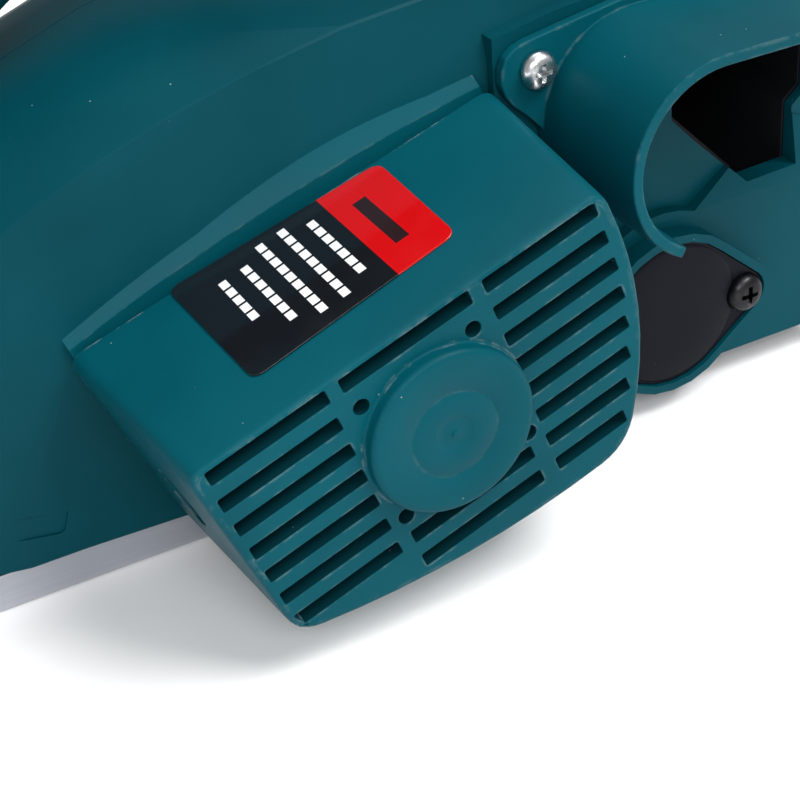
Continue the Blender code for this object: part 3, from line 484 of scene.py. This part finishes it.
def smoothed(mesh, angle=35):
    """Smooth shading, but sharp where faces meet past the angle in degrees."""
    mesh.shade_smooth()
    mesh.set_sharp_from_angle(angle=math.radians(angle))
    return mesh


def bowed(corners, bows, radii, edge_steps=8, corner_steps=6):
    """A closed outline: edges bowed by so much at their middles, each corner rounded off."""
    edges = []
    total = len(corners)
    for i in range(total):
        a, b = Vector(corners[i]), Vector(corners[(i + 1) % total])
        length = (b - a).length
        normal = Vector((b.y - a.y, a.x - b.x)) / length
        t0, t1 = radii[i] / length, 1 - radii[(i + 1) % total] / length
        edge = []
        for j in range(edge_steps + 1):
            t = t0 + (t1 - t0) * j / edge_steps
            edge.append(a.lerp(b, t) + normal * bows[i] * 4 * t * (1 - t))
        edges.append((edge, b))
    points = []
    for i, (edge, corner) in enumerate(edges):
        points += edge
        start, end = edge[-1], edges[(i + 1) % total][0][0]
        for j in range(1, corner_steps):
            t = j / corner_steps
            points.append(start.lerp(corner, t).lerp(corner.lerp(end, t), t))
    return [(p.x, p.y) for p in points]


# The casing in the leaning frame: u along the tool, v across it, both from the motor's axis.
FACE_CORNERS = [(-44.9, 24.1), (-42.8, -20.8), (30.5, -31.4), (44.3, 24.1)]
ROOT_CORNERS = [(-48.4, 26.3), (-45.6, -22.6), (34.0, -35.0), (48.4, 26.3)]
EDGE_BOWS = (0.0, 3.8, 5.6, 0.0)
CORNER_RADII = (3.5, 5.0, 6.0, 3.5)
ROOT_Y, ROOT_SWING = -47.4, -0.042            # the root's plane: y at u = 0, change per mm of u
RIM, EDGE, FACE_WALL, WALL = 1.0, 0.22, 5.5, 2.6
FACE_HOLES = [(-12.2, 15.1), (12.1, 15.0), (-14.5, -12.2), (13.4, -13.2)]
FACE_HOLE_R = 1.6
SLOT_TOP, SLOT_PITCH, SLOT_WIDTH, SLOT_CORNER = 21.35, 6.5, 3.1, 0.5
SLOT_ROWS, MIDDLE_ROWS = 8, (0, 6, 7)         # the boss interrupts the middle rows
BORE_R, BORE_Y, BORE_FROM, BORE_TO = 7.0, -66.0, 33, 52


def casing_outline(t, inset):
    """The casing's section, from the end face (t = 0) to its root (t = 1)."""
    corners = []
    for (u0, v0), (u1, v1) in zip(FACE_CORNERS, ROOT_CORNERS):
        u, v = u0 + (u1 - u0) * t, v0 + (v1 - v0) * t
        corners.append((u - math.copysign(inset, u), v - math.copysign(inset, v)))
    radii = [max(r - inset * 0.5, 1.0) for r in CORNER_RADII]
    return bowed(corners, EDGE_BOWS, radii)


def casing_ring(t, inset, back=0.0):
    """The section as a ring in the world; its plane swings to follow the body's side wall."""
    ring = []
    for u, v in casing_outline(t, inset):
        x, z = lean(u, v)
        root = ROOT_Y + ROOT_SWING * u
        ring.append((x, FACE_Y + back + (root - FACE_Y - back) * t, z))
    return ring


def slot_rows():
    """Each grille slot as (u0, u1, middle v); the ends follow the casing's own edges."""
    slots = []
    for row in range(SLOT_ROWS):
        v = SLOT_TOP - SLOT_PITCH * row
        right_end = 42.1 - (14 - v) ** 2 / 148 if v < 14 else 42.0
        if row < SLOT_ROWS - 1:
            slots.append((-42.0 - 0.016 * v if row else -41.6, -17.5 + 0.044 * v, v))
        slots.append((16.6 + 0.027 * v, right_end, v))
        if row in MIDDLE_ROWS:
            slots.append((-14.6 + 0.04 * v, 13.3 + 0.04 * v, v))
    return slots


def grille_plate():
    """The end wall: a filled 2-D curve with a rounded edge at every slot and hole."""
    outlines = [casing_outline(0.0, RIM - EDGE)]
    half = SLOT_WIDTH / 2
    for u0, u1, v in slot_rows():
        corners = [(u0, v + half), (u0, v - half), (u1, v - half), (u1, v + half)]
        outlines.append(bowed(corners, (0,) * 4, (SLOT_CORNER,) * 4, 1, 4))
    for u, v in FACE_HOLES:
        turns = [2 * math.pi * i / 24 for i in range(24)]
        outlines.append([(u + FACE_HOLE_R * math.cos(t), v + FACE_HOLE_R * math.sin(t))
                         for t in turns])
    curve = bpy.data.curves.new("grille", "CURVE")
    curve.dimensions = "2D"
    curve.fill_mode = "BOTH"
    curve.extrude = (FACE_WALL / 2 - EDGE) * MM
    curve.bevel_depth = EDGE * MM
    curve.bevel_resolution = 2
    curve.offset = -EDGE * MM
    for outline in outlines:
        spline = curve.splines.new("POLY")
        spline.points.add(len(outline) - 1)
        for point, (u, v) in zip(spline.points, outline):
            x, z = lean(u, v)
            point.co = (x * MM, z * MM, 0, 1)
        spline.use_cyclic_u = True
    holder = bpy.data.objects.new("grille", curve)
    mesh = bpy.data.meshes.new_from_object(holder)
    bpy.data.objects.remove(holder)
    stand = Matrix(((1, 0, 0, 0), (0, 0, -1, (FACE_Y + FACE_WALL / 2) * MM), (0, 1, 0, 0),
                    (0, 0, 0, 1)))
    mesh.transform(stand)
    return mesh


def brush_bore(side):
    """The round way to a brush through the casing's end wall."""
    rings = []
    for u in (side * BORE_FROM, side * BORE_TO):
        ring = []
        for i in range(40):
            turn = 2 * math.pi * i / 40
            x, z = lean(u, BORE_R * math.sin(turn))
            ring.append((x, BORE_Y + BORE_R * math.cos(turn), z))
        rings.append(ring)
    return rings_mesh(rings)


def casing_shell():
    """The casing's drafted walls with a rounded rim round the end wall."""
    rings = [casing_ring(0.0, RIM + 0.03, -0.003)]
    for step in range(1, 7):
        turn = math.radians(15 * step)
        rings.append(casing_ring(0.0, RIM * (1 - math.sin(turn)), RIM * (1 - math.cos(turn))))
    depth = ROOT_Y - FACE_Y
    for t in (3 / depth, 0.25, 0.5, 0.75, 1.0):
        rings.append(casing_ring(t, 0.0))
    rings += [casing_ring(1.0, WALL), casing_ring(0.0, WALL, FACE_WALL),
              casing_ring(0.0, RIM + 0.1, FACE_WALL)]
    return carved(rings_mesh(rings, closed=True), brush_bore(-1), brush_bore(1))


BAND_HALF, BAND_STEPS = 47.0, 32
BAND_WALL_Y, BAND_SWING = -44.2, -0.04        # the body's side wall behind the band
BAND_FOOT = 24.5                              # below the casing's top, out of sight
BAND_LOW, BAND_LOW_DROP = 29.6, 2.6
BAND_HIGH, BAND_HIGH_DROP = 34.0, 3.5


def root_band():
    """The raised band over the casing's root: an upright step, then a slope into the wall."""
    rings = []
    for i in range(BAND_STEPS + 1):
        u = -BAND_HALF + 2 * BAND_HALF * i / BAND_STEPS
        wall = BAND_WALL_Y + BAND_SWING * u
        bow = abs(u / 46.5) ** 2.2
        low, high = BAND_LOW - BAND_LOW_DROP * bow, BAND_HIGH - BAND_HIGH_DROP * bow
        section = [(BAND_FOOT, wall - 1.3), (low - 0.3, wall - 1.4), (low, wall - 1.25),
                   (low + 0.3, wall - 1.0), (high, wall + 1.2), (high - 1.0, wall + 2.4),
                   (BAND_FOOT, wall + 0.5)]
        ring = []
        for v, y in section:
            x, z = lean(u, v)
            ring.append((x, y, z))
        rings.append(ring)
    return rings_mesh(rings)


def boss():
    """The round boss on the grille: rounded rim, fine ring and a shallow dimple."""
    profile = [(17.25, 0.3), (17.25, 0.0), (16.95, -0.08), (16.8, -0.4), (16.8, -1.9),
               (16.7, -2.35), (16.4, -2.75), (15.95, -3.0), (15.4, -3.09), (14.6, -3.1),
               (8.9, -3.1), (8.82, -3.04), (8.7, -3.04), (8.62, -3.1), (4.1, -3.1),
               (3.8, -3.02), (3.3, -2.86), (2.6, -2.8), (1.1, -2.8), (0.85, -2.9), (0.5, -3.02),
               (0.05, -3.04)]
    return turned([(r, FACE_Y + y) for r, y in profile], MOTOR_X, MOTOR_Z, 128)


def gate_mark():
    """The small torn stub left in the dimple where the plastic was fed in."""
    stub = [(0.02, -3.32), (0.35, -3.3), (0.62, -3.12), (0.7, -2.9), (0.75, -2.6)]
    return turned([(r, FACE_Y + y) for r, y in stub], MOTOR_X, MOTOR_Z, 9)


SEAT_IN, SEAT_OUT, SEAT_FROM, SEAT_TO = 9.8, 12.2, 5.4, 13


def bearing_seat():
    """The sleeve behind the grille that holds the motor's bearing."""
    section = [(SEAT_IN, SEAT_FROM), (SEAT_OUT, SEAT_FROM), (SEAT_OUT, SEAT_TO), (SEAT_IN, SEAT_TO)]
    return turned([(r, FACE_Y + y) for r, y in section], MOTOR_X, MOTOR_Z, closed=True)


def motor_casing(material, slot_painted_shade):
    """The whole casing in place of the CAD one; the slots' walls take a darker material, painted
    shade for the shade inside the slots.
    """
    grille = smoothed(grille_plate(), 50)
    # The slots' walls take the painted-shade material.
    for face in grille.polygons:
        if abs(face.normal.y) < 0.5:
            face.material_index = 1
    mesh = joined(grille, smoothed(casing_shell(), 30), smoothed(boss(), 50),
                  smoothed(bearing_seat()), smoothed(root_band(), 24), gate_mark())
    slots = [face.material_index for face in mesh.polygons]
    piece = piece_of("motor_casing", mesh, material)
    mesh.materials.append(slot_painted_shade)
    mesh.polygons.foreach_set("material_index", slots)
    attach(piece, "body")
    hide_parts("motor_housing")


HEAD_OUTLINE = [(0.02, 0.0), (0.3, 0.01), (0.5, 0.05), (0.68, 0.13), (0.82, 0.26),
                (0.92, 0.44), (0.98, 0.66), (1.0, 0.86), (0.98, 1.0)]
HEAD_THICK, SHANK = 0.68, 0.5                 # in head radii
CROSS_ARM, CROSS_HALF_WIDTH, CROSS_DEPTH = 0.52, 0.12, 0.62


def pan_screw(node, material, side):
    """A pan head with a tapered cross recess, on its shank, in place of a CAD screw."""
    low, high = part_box(node)
    x, z = (low.x + high.x) / 2 / MM, (low.z + high.z) / 2 / MM
    y0, y1 = low.y / MM, high.y / MM
    top, tail = (y0, y1) if side < 0 else (y1, y0)
    head_r = (high.z - low.z) / 2 / MM
    thick = head_r * HEAD_THICK
    profile = [(r * head_r, top - side * d * thick) for r, d in HEAD_OUTLINE]
    profile += [(head_r * SHANK, top - side * thick), (head_r * SHANK, tail)]
    head = turned(profile, x, z, 56)
    arm, narrow, depth = head_r * CROSS_ARM, head_r * CROSS_HALF_WIDTH, thick * CROSS_DEPTH
    tools = []
    for across, up in ((arm, narrow), (narrow, arm)):
        rings = []
        for grow, at in ((1.15, -0.5), (1.0, 0.0), (0.45, depth)):
            ring = []
            for i, j in ((-1, -1), (1, -1), (1, 1), (-1, 1)):
                wide, tall = across * grow, up * grow
                if across < up:
                    wide = across * (0.6 + 0.4 * grow)
                else:
                    tall = up * (0.6 + 0.4 * grow)
                ring.append((x + i * wide, top - side * at, z + j * tall))
            rings.append(ring)
        tools.append(rings_mesh(rings))
    mesh = smoothed(carved(head, *tools), 40)
    piece = piece_of(node + "_head", mesh, material)
    round_off = piece.modifiers.new("round", "BEVEL")
    round_off.width, round_off.segments = 0.09 * MM, 2
    round_off.limit_method, round_off.angle_limit = "ANGLE", math.radians(40)
    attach(piece, "body")
    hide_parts(node)


SCREWS = [("hood_screw", "zinc", -1), ("cover_screw_front", "black_screw", -1),
          ("cover_screw_rear", "black_screw", -1), ("belt_cover_screw_1", "black_screw", 1),
          ("belt_cover_screw_2", "black_screw", 1), ("belt_cover_screw_3", "black_screw", 1),
          ("handle_screw_1", "zinc", 1), ("handle_screw_2", "zinc", 1),
          ("handle_screw_3", "zinc", 1)]


# ---------------------------------------------------------------- camera, floor and light

VIEW_AZ, VIEW_EL, VIEW_ROLL = math.radians(-25.65), math.radians(32.91), math.radians(-4.67)
AIM_ACROSS, AIM_UP, AIM_AWAY = 8.55 * MM, -4.72 * MM, 334.4 * MM
LENS = 83.26


def camera():
    """Looks down on the motor casing from the right rear; aimed by the boss's middle."""
    back = Vector((math.sin(VIEW_AZ) * math.cos(VIEW_EL), -math.cos(VIEW_AZ) * math.cos(VIEW_EL),
                   math.sin(VIEW_EL)))
    right = Vector((math.cos(VIEW_AZ), math.sin(VIEW_AZ), 0))
    up = back.cross(right)
    c, s = math.cos(VIEW_ROLL), math.sin(VIEW_ROLL)
    across, above = right * c + up * s, right * -s + up * c
    boss = Vector((MOTOR.x, FACE_Y * MM, MOTOR.z))
    eye = boss - across * AIM_ACROSS - above * AIM_UP + back * AIM_AWAY
    data = bpy.data.cameras.new("camera")
    data.lens = LENS
    data.clip_start = 0.02
    made = bpy.data.objects.new("camera", data)
    turn = Matrix((across, above, back)).transposed()
    made.matrix_world = Matrix.Translation(eye) @ turn.to_4x4()
    bpy.context.scene.collection.objects.link(made)
    bpy.context.scene.camera = made


FLOOR_REACH, FLOOR_GAP = 6.0, 0.0003


def floor():
    """A pale studio floor just under the sole."""
    mesh = bpy.data.meshes.new("floor")
    r = FLOOR_REACH
    corners = [(-r, -r, 0), (r, -r, 0), (r, r, 0), (-r, r, 0)]
    mesh.from_pydata(corners, [], [(0, 1, 2, 3)])
    made = bpy.data.objects.new("floor", mesh)
    made.location.z = CAD_BOX[0][2] - FLOOR_GAP
    look = Look("look_floor", Roughness=0.6)
    look.colour(look.mix(look.noise(2, 3), (0.93, 0.93, 0.93), (0.96, 0.96, 0.96)))
    mesh.materials.append(look.material)
    bpy.context.scene.collection.objects.link(made)


def softbox(name, place, aim, size, power):
    """A rectangular area light at a place, facing its aim; metres and watts."""
    data = bpy.data.lights.new(name, "AREA")
    data.shape = "RECTANGLE"
    data.size, data.size_y = size
    data.energy = power
    made = bpy.data.objects.new(name, data)
    made.location = place
    made.rotation_euler = (Vector(aim) - Vector(place)).to_track_quat("-Z", "Y").to_euler()
    bpy.context.scene.collection.objects.link(made)


WORLD_LIGHT = 0.40


def studio():
    """An even white surround and three softboxes."""
    world = bpy.data.worlds.new("studio")
    world.use_nodes = True
    world.node_tree.nodes["Background"].inputs["Color"].default_value = (1, 1, 1, 1)
    world.node_tree.nodes["Background"].inputs["Strength"].default_value = WORLD_LIGHT
    bpy.context.scene.world = world
    bpy.context.scene.view_settings.view_transform = "Standard"
    softbox("key", (0.5, -0.65, 1.25), (0, -0.02, 0.05), (0.8, 0.6), 21)
    softbox("front", (-0.45, -1.2, 0.9), (0, 0, 0.05), (0.9, 0.5), 14)
    softbox("top", (0.2, 0.5, 1.4), (0, 0, 0.05), (1.0, 0.8), 8)


# ---------------------------------------------------------------- making

camera()
looks = {slot: make("look_" + slot) for slot, make in MATERIALS.items()}
# The casing keeps the full teal; the body's slot material is its painted-shade darker copy.
looks["casing"] = moulded("look_casing", TEAL, 0.40, wear=0.35)
dress_nodes(looks)
# The slots' walls get painted shade: a darker copy of the teal.
motor_casing(looks["casing"], moulded("look_slot_wall", shade(TEAL, SLOT_PAINTED_SHADE), 0.6))
for node, slot, side in SCREWS:
    pan_screw(node, looks[slot], side)
floor()
studio()
